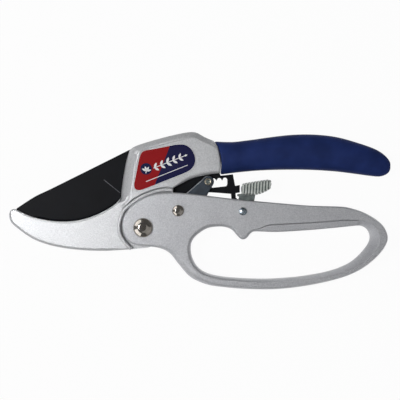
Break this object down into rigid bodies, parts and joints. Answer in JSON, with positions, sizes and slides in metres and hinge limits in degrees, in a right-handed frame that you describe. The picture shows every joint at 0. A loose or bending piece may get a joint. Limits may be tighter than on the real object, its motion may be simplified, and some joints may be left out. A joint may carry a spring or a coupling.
{
  "type": "pruning shears",
  "caption": "Ratchet anvil pruning shears: cast jaw and head, coated blade with toothed tail, link plates, finger-loop handle, dipped grip and thumb catch.",
  "frame": {"origin": "on the main pivot's axis, at the flat rear head of the main rivet, which is the plane that the tool lies on", "axes": "+X from the jaw to the handles, +Y across the tool from the loop handle to the gripped handle, +Z out of the label side"},
  "size_m": [0.2047, 0.0842, 0.0188],
  "materials": {
    "silver_alloy": "silver enamel on die-cast aluminium, fine grained satin",
    "navy_vinyl": "dip-moulded soft vinyl, satin",
    "printed_label": "two-tone printed polyester label with a pale border",
    "coated_steel": "black low-friction coating on hardened steel",
    "zinc_steel": "blue-bright zinc plate",
    "bright_plate": "bright nickel-chrome plate",
    "nylon": "natural nylon",
    "blue_grey_steel": "blue-grey oxide finish on stamped steel",
    "spring_steel": "drawn spring wire",
    "bare_alloy": "bare die-cast alloy, ribbed"
  },
  "bodies": {
    "frame": {"frame_casting": "silver_alloy", "grip_sleeve": "navy_vinyl", "label_plate": "printed_label", "blade_pivot_pin": "zinc_steel", "main_rivet": "bright_plate", "pivot_washer_front": "nylon", "pivot_washer_rear": "nylon"},
    "handle": {"loop_handle": "silver_alloy", "link_rivet": "bright_plate", "link_bush": "zinc_steel", "return_spring": "spring_steel", "latch_pin": "zinc_steel", "latch_spacer_front": "nylon", "latch_spacer_rear": "nylon"},
    "blade": {"blade": "coated_steel"},
    "link": {"link_plate_front": "blue_grey_steel", "link_plate_rear": "blue_grey_steel", "ratchet_pin": "zinc_steel"},
    "latch": {"latch_plate": "blue_grey_steel", "latch_thumb_pad": "bare_alloy"}
  },
  "joints": [
    {"name": "handle_swing", "type": "hinge", "parent": "frame", "child": "handle", "pos_m": [0, 0, 0.009], "axis": [0, 0, 1], "range_deg": [-30, 0]},
    {"name": "blade_swing", "type": "hinge", "parent": "frame", "child": "blade", "pos_m": [0.012, 0.0282, 0.009], "axis": [0, 0, 1], "range_deg": [-22.5, 0]},
    {"name": "link_swing", "type": "hinge", "parent": "handle", "child": "link", "pos_m": [0.0187, 0.0091, 0.009], "axis": [0, 0, 1], "range_deg": [0, 24]},
    {"name": "latch_swing", "type": "hinge", "parent": "handle", "child": "latch", "pos_m": [0.0533, 0.0087, 0.009], "axis": [0, 0, 1], "range_deg": [-18, 0]}
  ],
  "couplings": [
    {"joint": "blade_swing", "follows": "handle_swing", "ratio": 0.75},
    {"joint": "link_swing", "follows": "handle_swing", "ratio": -0.8}
  ]
}
